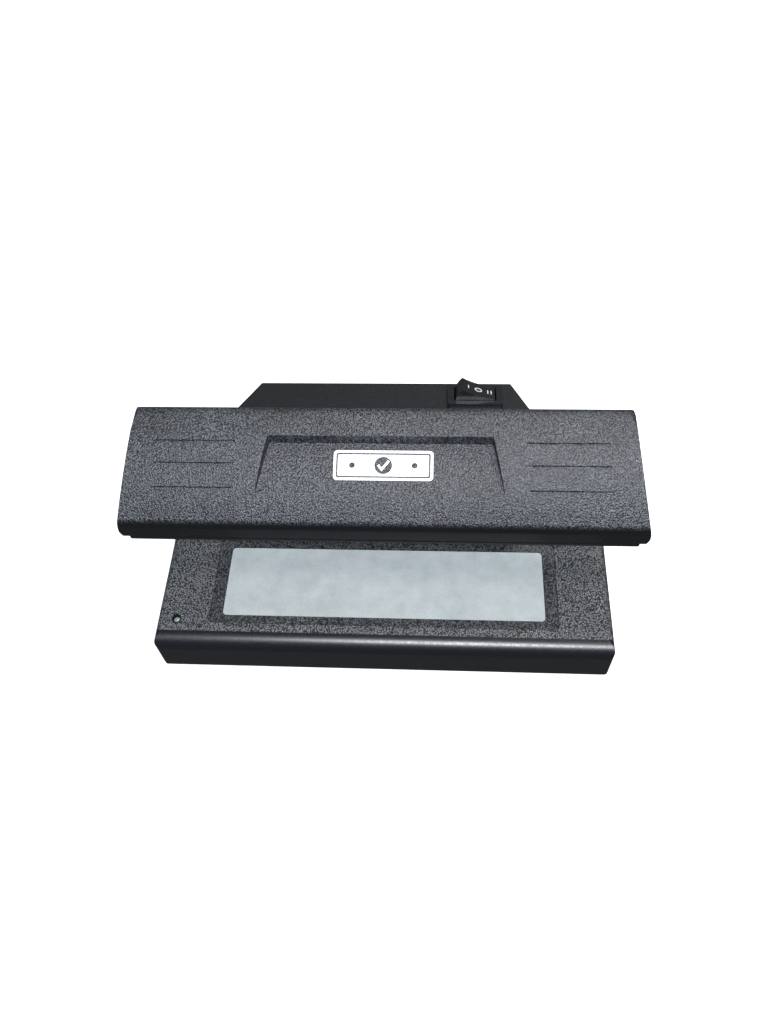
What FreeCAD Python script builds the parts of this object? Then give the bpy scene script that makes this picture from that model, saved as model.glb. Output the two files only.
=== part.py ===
import FreeCAD, Part
import math
import os
import re
import Sketcher

# Counterfeit bill detector: a flat base with a lit window, a column at its back, and a hood that
# carries an ultraviolet tube over the window.  Millimetres, +X to the right, +Y to the back, +Z up,
# origin under the middle of the base on the surface it stands on.

Vector = FreeCAD.Vector
Rotation = FreeCAD.Rotation
Placement = FreeCAD.Placement
ALONG = {"x": Rotation(Vector(0, 1, 0), 90), "y": Rotation(Vector(1, 0, 0), -90), "z": Rotation()}

SIZES = {
    # base
    "base_half": 91.0,          # half of the base's width
    "base_front": -50.0,
    "base_back": 50.0,
    "base_low": 2.0,            # underside of the base, above the feet
    "deck_top": 22.0,
    "deck_under": 18.8,
    "base_wall": 2.2,
    "base_corner": 1.6,         # corner radius seen from above
    "base_edge": 2.4,           # rounding of the upper edges at the sides and the back
    "inner_corner": 1.0,
    "nose_radius": 6.0,         # round front edge of the deck
    "tray_half": 70.0,          # shallow tray around the lit window
    "tray_front": -40.5,
    "tray_back": -0.5,
    "tray_depth": 0.8,
    "window_half": 65.0,
    "window_front": -36.5,
    "window_back": -4.5,
    "window_corner": 1.5,
    "window_ledge": 2.5,        # how far the window plate reaches under the deck
    "window_gap": 0.2,
    "ledge_thick": 1.6,
    "plate_top": 4.0,           # upper face of the bottom plate
    "plate_gap": 0.2,
    "tray_corner": 2.0,
    "cable_way": 14.0,          # half width of the cable hole between base and column
    # screws, one size throughout
    "shank_radius": 1.4,
    "pilot_radius": 1.45,
    "clear_radius": 1.7,
    "head_radius": 2.8,
    "head_height": 1.8,
    "sink_radius": 3.2,         # counterbore
    "boss_radius": 3.5,
    "cross_width": 0.8,         # cross recess in a screw head
    "cross_length": 3.4,
    "cross_depth": 0.9,
    "sleeve_radius": 4.4,       # pillars that a screw passes through
    "base_screw_x": 76.0,
    "base_screw_y": 42.5,
    "base_seat": 4.2,           # height of the bottom screws' head seat
    "foot_x": 60.0,
    "foot_y": 41.0,
    "foot_radius": 5.0,
    "foot_socket": 0.8,
    "foot_gap": 0.2,
    "foot_rim": 2.0,            # width of the raised ring that a foot stands on
    "foot_hollow": 0.4,
    "base_boss_low": 6.0,
    "base_screw_length": 10.0,
    # light box under the window
    "box_wall": 1.2,
    "strip_half": 58.0,         # LED strip board
    "strip_y": -20.5,
    "strip_half_depth": 5.5,
    "strip_low": 7.4,
    "strip_thick": 1.6,
    "strip_screw_x": 54.0,
    "strip_screw_length": 3.6,
    "strip_boss_radius": 2.6,
    "led_pitch": 18.0,
    "led_length": 3.5,
    "led_depth": 2.8,
    "led_height": 1.4,
    "lamp_dot_x": -83.0,        # indicator lamp in the deck
    "lamp_dot_y": -39.0,
    "dot_radius": 1.5,
    "dot_ring": 1.95,
    "ring_gap": 0.05,
    "ring_low": 15.0,
    "ring_high": 22.1,
    "collar_radius": 3.0,
    "collar_low": 16.0,
    "dot_low": 14.2,
    "dot_centre": 20.2,         # height of the round end's centre
    "dot_flange": 0.4,
    "leg_low": 7.0,
    "leg_half": 0.25,
    "leg_offset": 1.27,
    # hood
    "lip_low": 55.6,            # lower edge of the hood
    "hood_half": 99.7,          # half width at the top of the lip
    "end_draft": 0.257,          # how far each end leans in, per unit of height
    "end_low": 62.0,            # each end turns in below this height
    "end_low_round": 9.5,
    "end_top": 84.2,            # and turns in above this height
    "end_top_round": 3.5,
    "front_corner": 1.0,        # corners seen from above
    "back_corner": 4.5,
    "corner_slack": 0.03,       # keeps the corner prism's flat sides just off the hood's own
    "hood_front": -21.0,
    "lip_high": 61.0,           # where the upright lip ends
    "lip_radius": 7.0,
    "brow_slope": 50.0,         # slope of the face where it leaves the lip's rounding
    "crown_slope": 15.0,        # slope of the face where the crest begins
    "face_radius": 65.2,
    "crest_radius": 5.0,
    "hood_wall": 2.2,
    "groove_width": 1.0,
    "groove_depth": 0.65,
    "groove_length": 30.1,
    "groove_inner": 53.5,       # inner end of the upper groove
    "groove_step": 0.7,         # each lower groove lies this much further out
    "groove_y": 3.9,
    "groove_pitch": 7.44,
    "badge_top_half": 41.7,     # sunk trapezium on the face
    "badge_low_half": 46.1,
    "badge_top_y": 6.2,
    "badge_low_y": -11.9,
    "badge_low_drop": 0.9,      # floor below the face at the trapezium's lower edge
    "badge_slope": 22.3,        # the face is steeper, so the floor lies deepest at the top
    "badge_back": 1.8,          # wall behind the floor
    "liner_thick": 1.8,
    "liner_flange": 1.0,
    "liner_drop": 2.4,          # from the hood's lip down to the liner's underside
    "liner_inset": 0.3,
    "liner_rim_inset": 3.4,
    "liner_corner": 3.6,        # at the back; the front ones are the hood's own
    "liner_rim_high": 57.5,
    "liner_rim_wall": 1.4,
    "light_half": 82.0,         # opening for the tube in the liner
    "light_front": -15.4,
    "light_back": 8.4,
    "hood_screw_x": 87.0,
    "hood_screw_front": -13.0,
    "hood_screw_back": 12.0,
    "hood_boss_low": 57.2,
    "hood_seat": 55.6,
    "hood_screw_length": 10.0,
    "hood_pilot_depth": 12.0,
    # ultraviolet tube and its holders
    "tube_y": -4.0,
    "tube_z": 62.0,
    "tube_radius": 8.0,
    "tube_half": 68.0,
    "glass_radius": 7.8,
    "glass_wall": 0.8,
    "cap_length": 6.2,
    "pin_radius": 1.2,
    "pin_length": 7.0,
    "pin_spacing": 4.75,
    "rotor_radius": 4.9,
    "rotor_start": 68.7,
    "rotor_length": 7.5,
    "rotor_web": 0.9,
    "rotor_bore": 5.2,
    "rotor_slot": 2.9,
    "holder_start": 68.4,
    "holder_end": 78.4,
    "holder_half": 8.5,
    "holder_low": 54.4,
    "holder_top": 68.5,
    "bore_end": 76.5,
    "holder_ear": 88.5,
    "holder_ear_thick": 2.4,
    "holder_ear_half": 4.0,
    "holder_screw_x": 84.0,
    "holder_screw_length": 8.0,
    "contact_thick": 0.4,
    "contact_offset": 5.3,
    "contact_half_height": 1.8,
    "contact_end": 81.0,
    "reflector_half": 67.8,
    "reflector_wall": 0.5,
    # column and rear housing
    "column_half": 56.5,
    "column_front_y": 10.0,
    "column_back_y": 20.3,
    "column_top": 53.2,
    "column_wall": 2.2,
    "column_screw_x": 30.0,
    "column_screw_y": 15.4,
    "column_screw_length": 12.0,
    "column_corner": 3.0,
    "housing_back": 46.0,
    "housing_lean": 0.34,       # how far each side leans in, per unit towards the back
    "housing_knee": 58.0,       # height where the back wall starts to lean forward
    "panel_back": 40.5,         # back edge of the switch panel
    "panel_slope": 18.0,
    "panel_x": 35.3,            # centre of the switch on the panel
    "panel_y": 30.05,
    "panel_z": 78.0,
    "housing_wall": 2.2,
    "low_screw_x": 44.0,
    "low_screw_z": 34.0,
    "low_seat": 42.5,
    "high_screw_x": 20.0,
    "high_screw_z": 62.0,
    "high_seat": 41.5,
    "rear_screw_length": 28.0,
    "vent_x": -34.0,
    "vent_pitch": 5.0,
    "vent_width": 2.0,
    "vent_low": 32.0,
    "vent_high": 50.0,
    "wire_way": 12.0,           # half width of the wire opening between hood and housing
    # rocker switch, in its own frame on the panel
    "bezel_half": 10.5,
    "bezel_half_depth": 7.5,
    "bezel_height": 1.9,
    "bezel_corner": 1.2,
    "well_half": 8.05,
    "well_half_depth": 5.0,
    "case_half": 9.4,
    "case_half_depth": 6.3,
    "case_depth": 12.0,
    "case_floor": 1.2,
    "cutout_gap": 0.2,
    "pivot_height": 0.5,
    "rocker_radius": 7.6,
    "rocker_top": 4.0,          # ends of the rocker's top, above the pivot, at middle position
    "rocker_dish": 34.0,        # radius of the hollow in the rocker's top
    "rocker_low": 2.6,
    "rocker_half_depth": 4.7,
    "rocker_tilt": 18.0,        # each way from the middle
    "stub_radius": 1.1,
    "stub_bore": 1.18,
    "stub_end": 6.0,
    "stem_radius": 1.9,
    "stem_bore": 1.2,
    "stem_end": 4.6,
    "plunger_radius": 0.9,
    "plunger_tip": 7.5,
    "lever_height": -7.6,
    "lever_half": 6.2,
    "lever_half_depth": 2.0,
    "lever_thick": 0.6,
    "lever_tilt": 9.0,
    "lever_pivot": 0.5,         # radius of the roll that the lever rocks on
    "button_radius": 1.2,
    "button_inset": 1.5,
    "button_height": 0.5,
    "tab_pitch": 6.6,
    "tab_thick": 0.8,
    "tab_half_depth": 2.4,
    "tab_end": 21.0,
    "stud_top": -9.6,
    "cradle_top": -8.3,
    # mains inlet, two round pins
    "inlet_x": 28.0,
    "inlet_z": 36.0,
    "inlet_half": 11.0,
    "inlet_half_height": 6.6,
    "inlet_front": 30.0,        # inner end of the inlet's body
    "inlet_rim": 46.4,
    "snout_half": 9.4,
    "snout_half_height": 5.4,
    "socket_depth": 12.5,
    "socket_radius": 4.1,
    "socket_waist": 3.1,
    "mains_pin_radius": 1.2,
    "mains_pin_spacing": 8.6,
    "mains_pin_length": 10.0,
    "mains_collar_radius": 1.6, # part of a pin held in the inlet's floor
    "mains_collar_start": 30.4,
    "mains_tail_radius": 0.9,
    "mains_tail_start": 27.0,
    # ballast board
    "board_left": -38.5,
    "board_right": 8.5,
    "board_low": 27.0,
    "board_high": 55.0,
    "board_y": 24.0,
    "board_thick": 1.6,
    "board_screw_inset": 3.0,
    "board_screw_length": 9.0,
    "board_screw_low": 31.0,
    "board_screw_high": 47.0,
    "standoff_radius": 2.9,
    "lead_radius": 0.8,
    "core_left": -30.0,         # ferrite core, two windows around its middle leg
    "core_right": -14.0,
    "core_low": 38.0,
    "core_high": 52.0,
    "core_lift": 1.4,
    "core_depth": 12.0,
    "core_leg": 2.6,
    "core_window": 3.2,
    "core_yoke": 3.0,
    "coil_gap": 0.2,
    "storage_x": 1.5,           # electrolytic capacitor, lying towards the back
    "storage_z": 37.0,
    "storage_radius": 4.0,
    "storage_length": 13.0,
    "film_left": -3.5,          # two film capacitors
    "film_right": 2.0,
    "film_low": 43.0,
    "film_height": 4.5,
    "film_pitch": 6.0,
    "film_depth": 9.0,
    "chip_left": -29.5,         # two power transistors
    "chip_width": 8.0,
    "chip_pitch": 9.0,
    "chip_low": 30.5,
    "chip_thick": 3.0,
    "chip_length": 11.0,
    "fuse_x": -9.0,
    "fuse_low": 33.0,
    "fuse_length": 20.0,
    "fuse_lift": 4.0,
    "fuse_glass_radius": 2.4,
    "fuse_cap_radius": 2.6,
    "fuse_cap_length": 5.0,
    "clip_gap": 0.05,
    "clip_inset": 0.5,
    "clip_width": 4.0,
    "clip_half": 3.2,
    "clip_mouth_half": 2.2,
    "clip_depth": 6.0,
}

# Internal wires: the corner points of each route, end to end.
WIRE_ROUTES = {
    "mains_leads": [
        [(23.7, 26.6, 36), (23.7, 22.6, 37), (28.7, 22.2, 46), (28.7, 23.3, 56.5)],
        [(32.3, 26.6, 36), (32.3, 22.4, 37), (18, 21.8, 44), (10, 23.6, 50)],
    ],
    "led_leads": [
        [(2, 22.6, 30), (2, 23.5, 10.2), (2, -13, 10.2)],
        [(-2, 22.6, 30), (-2, 23.5, 10.2), (-2, -13, 10.2)],
    ],
    "lamp_leads": [
        [(-6, 27, 56.5), (-6, 24, 69), (-8, 13.5, 69), (-79, 13.5, 69), (-81.8, 3, 63)],
        [(6, 27, 56.5), (6, 24, 69), (8, 13.5, 69), (79, 13.5, 69), (81.8, 3, 63)],
    ],
}

# Section of the reflector, in distances from the tube's middle; it stands on the liner.
REFLECTOR_SECTION = [
    (13.5, 4.0), (9.0, 10.5), (2.0, 11.5), (-5.5, 8.6), (-10.5, 2.5), (-12.2, -2.0),
]

doc = FreeCAD.newDocument("CounterfeitBillDetector")
sheet = doc.addObject("Spreadsheet::Sheet", "Sizes")
for row, (alias, number) in enumerate(SIZES.items(), start=1):
    sheet.set("A%d" % row, alias)
    sheet.set("B%d" % row, "%s" % number)
    sheet.setAlias("B%d" % row, alias)
doc.recompute()


# ---- helpers ----------------------------------------------------------------------------------

def link(formula):
    """The formula with every size's name pointing at its cell in the sheet."""
    return re.sub(r"[a-z]+_[a-z_]+", lambda word: "Sizes." + word.group(), str(formula))


def value(formula):
    """What a formula comes to with the sheet's present numbers."""
    result = sheet.evalExpression(link(formula))
    return float(getattr(result, "Value", result))


def bind(thing, settings):
    """Ties properties of an object to formulas of the sheet's sizes."""
    for name, formula in settings.items():
        thing.setExpression(name, link(formula))


def place(thing, x="0", y="0", z="0", turn=None):
    """Puts an object at a point given by formulas, turned as asked."""
    thing.Placement = Placement(Vector(value(x), value(y), value(z)), turn or Rotation())
    bind(thing, {"Placement.Base.x": x, "Placement.Base.y": y, "Placement.Base.z": z})
    return thing


def block(x_low, x_high, y_low, y_high, z_low, z_high):
    """A rectangular block between two corners."""
    thing = doc.addObject("Part::Box", "block")
    bind(thing, {
        "Length": "(%s) - (%s)" % (x_high, x_low),
        "Width": "(%s) - (%s)" % (y_high, y_low),
        "Height": "(%s) - (%s)" % (z_high, z_low),
    })
    return place(thing, x_low, y_low, z_low)


def rod(radius, axis, x, y, z, length):
    """A round bar that starts at a point and runs along an axis."""
    thing = doc.addObject("Part::Cylinder", "rod")
    bind(thing, {"Radius": radius, "Height": length})
    return place(thing, x, y, z, ALONG[axis])


def fuse(*things):
    """One shape from several that touch, or a group of separate solids from those that don't."""
    thing = doc.addObject("Part::MultiFuse", "fusion")
    thing.Shapes = list(things)
    return thing


def cut(base, *tools):
    """The base without the tools."""
    thing = doc.addObject("Part::Cut", "cut")
    thing.Base = base
    thing.Tool = tools[0] if len(tools) == 1 else fuse(*tools)
    return thing


def common(first, second):
    """What two shapes share."""
    thing = doc.addObject("Part::Common", "common")
    thing.Base = first
    thing.Tool = second
    return thing


def mirrored(source, normal):
    """A mirror image across a plane through the origin."""
    thing = doc.addObject("Part::Mirroring", "mirror")
    thing.Source = source
    thing.Normal = Vector(*normal)
    return thing


def both_sides(source):
    """The shape and its mirror image left to right."""
    return [source, mirrored(source, (1, 0, 0))]


def four_corners(source):
    """The shape, its images left to right and front to back, and the one across."""
    pair = both_sides(source)
    return pair + [mirrored(thing, (0, 1, 0)) for thing in pair]


def group(things):
    """Several separate solids that share one node."""
    thing = doc.addObject("Part::Compound", "group")
    thing.Links = things
    return thing


def sketch_on(body, plane, loops, lift="0"):
    """A sketch on one of the body's own planes, raised along the plane's normal.

    A loop is a circle (u, v, radius), or a list of points (u, v) in order.  A third entry in a point
    is the radius of the arc to the next point, which bulges outwards, or inwards with a fourth
    entry "hollow".  Every coordinate and radius is a constraint bound to the sheet.
    """
    sketch = body.newObject("Sketcher::SketchObject", body.Name + "_sketch")
    origin_plane = next(f for f in body.Origin.OriginFeatures if f.Role == plane)
    sketch.AttachmentSupport = [(origin_plane, "")]
    sketch.MapMode = "FlatFace"
    bind(sketch, {"AttachmentOffset.Base.z": lift})

    def fix(kind, where, formula):
        number = sketch.addConstraint(Sketcher.Constraint(kind, *where, value(formula)))
        name = "size_%d" % number
        sketch.renameConstraint(number, name)
        bind(sketch, {"Constraints." + name: formula})

    for loop in loops:
        first = len(sketch.Geometry)
        if isinstance(loop, tuple):
            u, v, radius = loop
            centre = Vector(value(u), value(v), 0)
            sketch.addGeometry(Part.Circle(centre, Vector(0, 0, 1), value(radius)), False)
            fix("Radius", (first,), radius)
            fix("DistanceX", (-1, 1, first, 3), u)
            fix("DistanceY", (-1, 1, first, 3), v)
            continue
        corners = [Vector(value(point[0]), value(point[1]), 0) for point in loop]
        following = corners[1:] + corners[:1]
        area = sum(p.x * q.y - q.x * p.y for p, q in zip(corners, following))
        ends = []
        for point, start, end in zip(loop, corners, following):
            if len(point) == 2:
                sketch.addGeometry(Part.LineSegment(start, end), False)
                ends.append((1, 2))
                continue
            chord = end - start
            radius = value(point[2])
            leftwards = (area > 0) == (len(point) == 3)   # the arc turns left on its way
            normal = Vector(-chord.y, chord.x, 0).normalize() * (1 if leftwards else -1)
            rise = math.sqrt(max(radius ** 2 - chord.Length ** 2 / 4, 0))
            centre = (start + end) * 0.5 + normal * rise
            angles = [math.atan2(p.y - centre.y, p.x - centre.x) for p in (start, end)]
            if not leftwards:
                angles.reverse()
            circle = Part.Circle(centre, Vector(0, 0, 1), radius)
            sketch.addGeometry(Part.ArcOfCircle(circle, angles[0], angles[1]), False)
            ends.append((1, 2) if leftwards else (2, 1))
        for index, point in enumerate(loop):
            after = (index + 1) % len(loop)
            joint = (first + index, ends[index][1], first + after, ends[after][0])
            sketch.addConstraint(Sketcher.Constraint("Coincident", *joint))
        for index, point in enumerate(loop):
            where = (-1, 1, first + index, ends[index][0])
            fix("DistanceX", where, point[0])
            fix("DistanceY", where, point[1])
            if len(point) > 2:
                fix("Radius", (first + index,), point[2])
    return sketch


def rectangle(u_low, u_high, v_low, v_high):
    return [(u_low, v_low), (u_high, v_low), (u_high, v_high), (u_low, v_high)]


def rounded(u_low, u_high, v_low, v_high, radius):
    """A rectangle with round corners, as a loop."""
    inside = ["(%s) %s (%s)" % (edge, sign, radius)
              for edge, sign in ((u_low, "+"), (u_high, "-"), (v_low, "+"), (v_high, "-"))]
    left, right, low, high = inside
    return [
        (left, v_low), (right, v_low, radius), (u_high, low), (u_high, high, radius),
        (right, v_high), (left, v_high, radius), (u_low, high), (u_low, low, radius),
    ]


def new_body(name):
    return doc.addObject("PartDesign::Body", name)


def pad(body, sketch, length, symmetric=False, reverse=False):
    feature = body.newObject("PartDesign::Pad", "pad")
    feature.Profile = sketch
    feature.SideType = "Symmetric" if symmetric else "One side"
    feature.Reversed = reverse
    bind(feature, {"Length": length})
    sketch.Visibility = False
    return feature


def pocket(body, sketch, depth, symmetric=False, reverse=False):
    """Cuts a sketch into the body and makes sure that it removed something."""
    doc.recompute()
    before = body.Shape.Volume
    feature = body.newObject("PartDesign::Pocket", "pocket")
    feature.Profile = sketch
    feature.SideType = "Symmetric" if symmetric else "One side"
    feature.Reversed = reverse
    bind(feature, {"Length": depth})
    doc.recompute()
    if body.Shape.Volume > before - 0.01:
        raise RuntimeError("a pocket of %s removes nothing" % body.Name)
    return feature


def hollow(body, wall, open_side):
    """Turns the body into a shell of one wall thickness, open at the faces that a test picks."""
    doc.recompute()
    base = body.Tip
    names = ["Face%d" % i for i, face in enumerate(base.Shape.Faces, start=1) if open_side(face)]
    feature = body.newObject("PartDesign::Thickness", "shell")
    feature.Base = (base, names)
    feature.Reversed = True
    feature.Join = 1
    bind(feature, {"Value": wall})
    return feature


def faces_towards(face, direction):
    u_low, u_high, v_low, v_high = face.ParameterRange
    normal = face.normalAt((u_low + u_high) / 2, (v_low + v_high) / 2)
    return normal.dot(Vector(*direction)) > 0.999


def screw(axis, x, y, z, length, towards=1):
    """A pan-head screw with a cross recess: the head's seat is at the point, the shank runs on."""
    sign = "+" if towards > 0 else "-"
    at = {"x": x, "y": y, "z": z}

    def shifted(low, high):
        """The point moved along the axis so that a part fills low to high beyond the seat."""
        start = low if towards > 0 else high
        return dict(at, **{axis: "(%s) %s (%s)" % (at[axis], sign, start)})

    head = rod("head_radius", axis, *shifted("-head_height", "0").values(), "head_height")
    shank = rod("shank_radius", axis, *shifted("0", length).values(), length)
    recesses = []
    for across in ("x", "y", "z"):
        if across == axis:
            continue
        spans = {}
        for name in ("x", "y", "z"):
            half = "cross_length / 2" if name == across else "cross_width / 2"
            spans[name] = ("(%s) - %s" % (at[name], half), "(%s) + %s" % (at[name], half))
        outer = "(%s) %s (-head_height)" % (at[axis], sign)
        inner = "(%s) %s (cross_depth - head_height)" % (at[axis], sign)
        spans[axis] = (outer, inner) if towards > 0 else (inner, outer)
        recesses.append(block(*spans["x"], *spans["y"], *spans["z"]))
    return fuse(cut(head, *recesses), shank)


nodes = []


def node(name, thing):
    """Names a finished sub-part."""
    thing.Label = name
    nodes.append(thing)
    return thing


# ---- base -------------------------------------------------------------------------------------

def base_shell():
    """Upper half of the base: round-nosed box, open below, with the window and cable openings."""
    body = new_body("base_form")
    profile = [
        ("base_front", "base_low"), ("base_back", "base_low"),
        ("base_back", "deck_top - base_edge", "base_edge"), ("base_back - base_edge", "deck_top"),
        ("base_front + nose_radius", "deck_top", "nose_radius"),
        ("base_front", "deck_top - nose_radius"),
    ]
    pad(body, sketch_on(body, "YZ_Plane", [profile]), "2 * base_half", symmetric=True)
    around = rectangle("-base_half - 5", "base_half + 5", "base_front - 5", "base_back + 5")
    plan = rounded("-base_half", "base_half", "base_front", "base_back", "base_corner")
    pocket(body, sketch_on(body, "XY_Plane", [around, plan]), "3 * deck_top", symmetric=True)
    beside = rectangle("-base_half - 5", "base_half + 5", "base_low - 5", "deck_top + 5")
    front = [
        ("-base_half", "base_low"), ("base_half", "base_low"),
        ("base_half", "deck_top - base_edge", "base_edge"), ("base_half - base_edge", "deck_top"),
        ("base_edge - base_half", "deck_top", "base_edge"), ("-base_half", "deck_top - base_edge"),
    ]
    pocket(body, sketch_on(body, "XZ_Plane", [beside, front]), "3 * base_back", symmetric=True)
    inside = rounded("base_wall - base_half", "base_half - base_wall",
                     "base_front + base_wall", "base_back - base_wall", "inner_corner")
    pocket(body, sketch_on(body, "XY_Plane", [inside]), "deck_under", reverse=True)
    tray = rounded("-tray_half", "tray_half", "tray_front", "tray_back", "tray_corner")
    pocket(body, sketch_on(body, "XY_Plane", [tray], "deck_top"), "tray_depth")
    window = rounded("-window_half", "window_half", "window_front", "window_back", "window_corner")
    cable = rectangle("-cable_way", "cable_way", "column_back_y", "housing_back - 10")
    dot = ("lamp_dot_x", "lamp_dot_y", "dot_ring")
    holes = [window, cable, dot]
    for side in ("-", "+"):
        holes.append(("0 %s column_screw_x" % side, "column_screw_y", "clear_radius"))
    pocket(body, sketch_on(body, "XY_Plane", [*holes], "deck_top"), "deck_top")
    boss = rod("boss_radius", "z", "base_screw_x", "base_screw_y", "base_boss_low",
               "deck_top - 1 - base_boss_low")
    pilot = rod("pilot_radius", "z", "base_screw_x", "base_screw_y", "base_boss_low - 1", "base_screw_length")
    shell = fuse(body, *four_corners(boss))
    return node("base_shell", cut(shell, *four_corners(pilot)))


def bottom_plate():
    """Screwed floor of the base, with sockets for the rubber feet."""
    body = new_body("plate_form")
    edge = "base_wall + plate_gap"
    outline = rounded("%s - base_half" % edge, "base_half - (%s)" % edge,
                      "base_front + %s" % edge, "base_back - (%s)" % edge, "inner_corner")
    pad(body, sketch_on(body, "XY_Plane", [outline], "base_low"), "plate_top - base_low")
    feet = [("0 %s foot_x" % i, "0 %s foot_y" % j, "foot_radius + foot_gap") for i in "-+" for j in "-+"]
    pocket(body, sketch_on(body, "XY_Plane", feet, "base_low"), "foot_socket", reverse=True)
    at = ("z", "base_screw_x", "base_screw_y")
    pillar = rod("sleeve_radius", *at, "plate_top - 0.5", "2.5")
    sink = rod("sink_radius", *at, "base_low - 1", "base_seat - base_low + 1")
    hole = rod("clear_radius", *at, "base_low", "5")
    plate = fuse(body, *four_corners(pillar))
    node("bottom_plate", cut(plate, *four_corners(sink), *four_corners(hole)))
    fastener = screw("z", "base_screw_x", "base_screw_y", "base_seat", "base_screw_length")
    node("bottom_screws", group(four_corners(fastener)))
    foot = rod("foot_radius", "z", "foot_x", "foot_y", "0", "base_low + foot_socket")
    tread = rod("foot_radius - foot_rim", "z", "foot_x", "foot_y", "-1", "foot_hollow + 1")
    node("rubber_feet", group(four_corners(cut(foot, tread))))


def lit_window():
    """Milky window plate, the white box under it and the LED strip that lights it."""
    ledge_top = "deck_under"
    ledge_low = "deck_under - ledge_thick"
    reach = "window_ledge - window_gap"
    pane = new_body("pane")
    outline = rounded("window_gap - window_half", "window_half - window_gap",
                      "window_front + window_gap", "window_back - window_gap", "window_corner")
    pad(pane, sketch_on(pane, "XY_Plane", [outline], ledge_low),
        "deck_top - tray_depth - 0.1 - (%s)" % ledge_low)
    ledge = block("-window_half - (%s)" % reach, "window_half + %s" % reach,
                  "window_front - (%s)" % reach, "window_back + %s" % reach, ledge_low, ledge_top)
    node("window_diffuser", fuse(pane, ledge))

    outer = ("-window_half - window_ledge", "window_half + window_ledge",
             "window_front - window_ledge", "window_back + window_ledge")
    inner = ("-window_half - window_ledge + box_wall", "window_half + window_ledge - box_wall",
             "window_front - window_ledge + box_wall", "window_back + window_ledge - box_wall")
    tub = cut(block(*outer, "plate_top", ledge_low),
              block(*inner, "plate_top + box_wall", "%s + 1" % ledge_low))
    pillar = rod("strip_boss_radius", "z", "strip_screw_x", "strip_y", "plate_top + 0.4", 
                 "strip_low - plate_top - 0.4")
    pilot = rod("pilot_radius", "z", "strip_screw_x", "strip_y", "plate_top + 0.9", "5")
    lead_hole = block("-4", "4", "window_back", "window_back + 5", "8", "12")
    node("light_box", cut(fuse(tub, *both_sides(pillar)), *both_sides(pilot), lead_hole))

    board = block("-strip_half", "strip_half", "strip_y - strip_half_depth",
                  "strip_y + strip_half_depth", "strip_low", "strip_low + strip_thick")
    hole = rod("clear_radius", "z", "strip_screw_x", "strip_y", "strip_low - 1", "strip_thick + 2")
    node("led_board", cut(board, *both_sides(hole)))
    fastener = screw("z", "strip_screw_x", "strip_y", "strip_low + strip_thick",
                     "strip_screw_length", towards=-1)
    node("led_board_screws", group(both_sides(fastener)))
    chips = []
    for index in range(6):
        centre = "(%s) * led_pitch" % (index - 2.5)
        chips.append(block(centre + " - led_length / 2", centre + " + led_length / 2",
                           "strip_y - led_depth / 2", "strip_y + led_depth / 2",
                           "strip_low + strip_thick", "strip_low + strip_thick + led_height"))
    node("white_leds", group(chips))


def indicator():
    """Three millimetre lamp in a black ring at the left of the deck."""
    at = ("lamp_dot_x", "lamp_dot_y")
    sleeve = rod("dot_ring - ring_gap", "z", *at, "ring_low", "ring_high - ring_low")
    collar = rod("collar_radius", "z", *at, "collar_low", "deck_under - collar_low")
    bore = rod("dot_radius + 0.1", "z", *at, "ring_low - 1", "ring_high - ring_low + 2")
    node("indicator_ring", cut(fuse(sleeve, collar), bore))
    stem = rod("dot_radius", "z", *at, "dot_low", "dot_centre - dot_low")
    dome = doc.addObject("Part::Sphere", "dome")
    bind(dome, {"Radius": "dot_radius"})
    place(dome, *at, "dot_centre")
    rim = rod("dot_radius + dot_flange", "z", *at, "dot_low - 1", "1")
    legs = []
    for centre in ("lamp_dot_x - leg_offset", "lamp_dot_x + leg_offset"):
        legs.append(block(centre + " - leg_half", centre + " + leg_half", "lamp_dot_y - leg_half",
                          "lamp_dot_y + leg_half", "leg_low", "dot_low - 0.8"))
    node("indicator_led", fuse(stem, dome, rim, *legs))


# ---- hood -------------------------------------------------------------------------------------

def face_points(inset):
    """The hood's section from the lip over the face and crest to the back wall.

    Arcs that meet without a corner: the lip's rounding, the long face and the crest.  An inset
    makes the same curves nearer to the middle by that much.
    """
    lip_y = "(hood_front + lip_radius)"
    lip_arc = "(lip_radius - (%s))" % inset
    lip_end = ("%s - %s * sin(brow_slope)" % (lip_y, lip_arc),
               "lip_high + %s * cos(brow_slope)" % lip_arc)
    face_y = "(%s + (face_radius - lip_radius) * sin(brow_slope))" % lip_y
    face_z = "(lip_high - (face_radius - lip_radius) * cos(brow_slope))"
    face_arc = "(face_radius - (%s))" % inset
    face_end = ("%s - %s * sin(crown_slope)" % (face_y, face_arc),
                "%s + %s * cos(crown_slope)" % (face_z, face_arc))
    crest_y = "(%s - (face_radius - crest_radius) * sin(crown_slope))" % face_y
    crest_z = "(%s + (face_radius - crest_radius) * cos(crown_slope))" % face_z
    crest_arc = "(crest_radius - (%s))" % inset
    return {
        "lip": ("hood_front + (%s)" % inset, "lip_high", lip_arc),
        "brow": (*lip_end, face_arc),
        "crown": (*face_end, crest_arc),
        "back": ("%s + %s" % (crest_y, crest_arc), crest_z),
        "face_centre": (face_y, face_z),
    }


def face_height(y, inset="0"):
    """Height of the long face at a distance from front to back."""
    centre_y, centre_z = face_points("0")["face_centre"]
    reach = "(face_radius - (%s))" % inset
    return "%s + sqrt(%s^2 - (%s - (%s))^2)" % (centre_z, reach, centre_y, y)


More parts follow.
